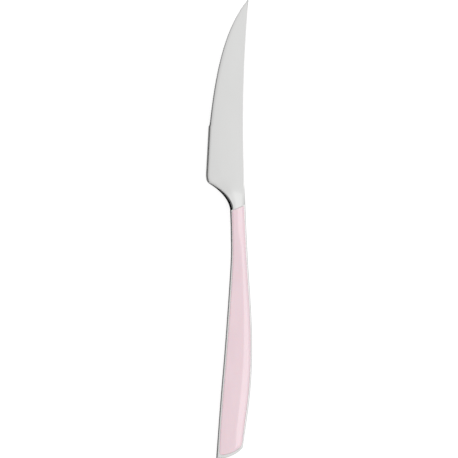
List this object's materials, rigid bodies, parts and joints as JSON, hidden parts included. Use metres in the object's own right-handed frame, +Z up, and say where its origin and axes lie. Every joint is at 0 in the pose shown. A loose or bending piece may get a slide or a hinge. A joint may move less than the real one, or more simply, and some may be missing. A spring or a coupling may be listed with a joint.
{
  "type": "table knife",
  "caption": "Table knife with a pointed polished steel blade, a flared bolster and a full tang that carries pale pink plastic handle scales.",
  "frame": {"origin": "under the middle of the knife's bounding box, on the surface that the knife lies on", "axes": "+Y from the butt to the tip, along the knife's length; +X towards the spine, so the cutting edge faces -X; +Z up, square to the blade's face"},
  "size_m": [0.0236, 0.2348, 0.0073],
  "materials": {
    "steel": "polished stainless steel with a fine satin grain",
    "scale_plastic": "glossy pale pink moulded plastic",
    "adhesive": "cured adhesive",
    "pin_steel": "plain drawn steel"
  },
  "bodies": {
    "root": {"blade_and_tang": "steel", "front_scale": "scale_plastic", "back_scale": "scale_plastic", "front_bond_film": "adhesive", "back_bond_film": "adhesive", "front_locating_pin": "pin_steel", "middle_locating_pin": "pin_steel", "rear_locating_pin": "pin_steel"}
  },
  "joints": []
}
